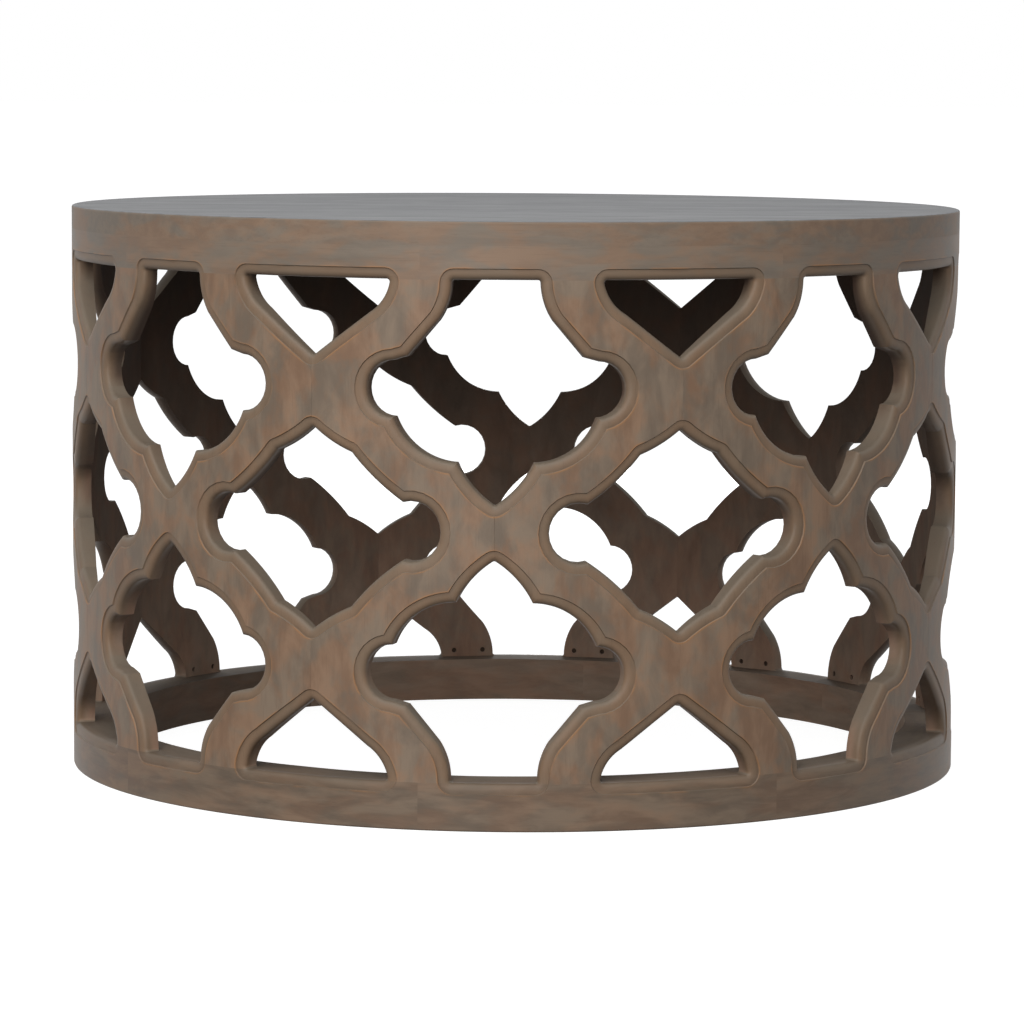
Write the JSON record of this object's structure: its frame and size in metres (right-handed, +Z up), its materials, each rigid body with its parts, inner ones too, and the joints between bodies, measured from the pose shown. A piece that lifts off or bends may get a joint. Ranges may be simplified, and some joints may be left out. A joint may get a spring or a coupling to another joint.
{
  "type": "drum stool",
  "caption": "Low round drum stool or side table of washed wood: a flat boarded top on a pierced trellis wall of beaded ribs that stand on a ring.",
  "frame": {"origin": "centre of the base ring on the floor", "axes": "+Z up, -Y towards the viewer of the picture, +X to the right"},
  "size_m": [0.72, 0.72, 0.453],
  "materials": {
    "rib_wood": "grey-brown wash, satin",
    "ring_wood": "grey-brown wash, satin",
    "top_wood": "grey-brown wash, satin",
    "tenon_wood": "bare beech"
  },
  "bodies": {
    "root": {"rib_01": "rib_wood", "rib_02": "rib_wood", "rib_03": "rib_wood", "rib_04": "rib_wood", "rib_05": "rib_wood", "rib_06": "rib_wood", "rib_07": "rib_wood", "rib_08": "rib_wood", "rib_09": "rib_wood", "rib_10": "rib_wood", "rib_11": "rib_wood", "rib_12": "rib_wood", "rib_13": "rib_wood", "rib_14": "rib_wood", "rib_15": "rib_wood", "rib_16": "rib_wood", "base_ring_1": "ring_wood", "base_ring_2": "ring_wood", "base_ring_3": "ring_wood", "base_ring_4": "ring_wood", "base_ring_5": "ring_wood", "base_ring_6": "ring_wood", "base_ring_7": "ring_wood", "base_ring_8": "ring_wood", "top_ring_1": "ring_wood", "top_ring_2": "ring_wood", "top_ring_3": "ring_wood", "top_ring_4": "ring_wood", "top_ring_5": "ring_wood", "top_ring_6": "ring_wood", "top_ring_7": "ring_wood", "top_ring_8": "ring_wood", "top_board_1": "top_wood", "top_board_2": "top_wood", "top_board_3": "top_wood", "top_board_4": "top_wood", "top_board_5": "top_wood", "top_board_6": "top_wood", "top_board_7": "top_wood", "foot_tenons": "tenon_wood", "head_tenons": "tenon_wood", "top_tenons": "tenon_wood", "base_ring_slips": "tenon_wood", "top_ring_slips": "tenon_wood"}
  },
  "joints": []
}
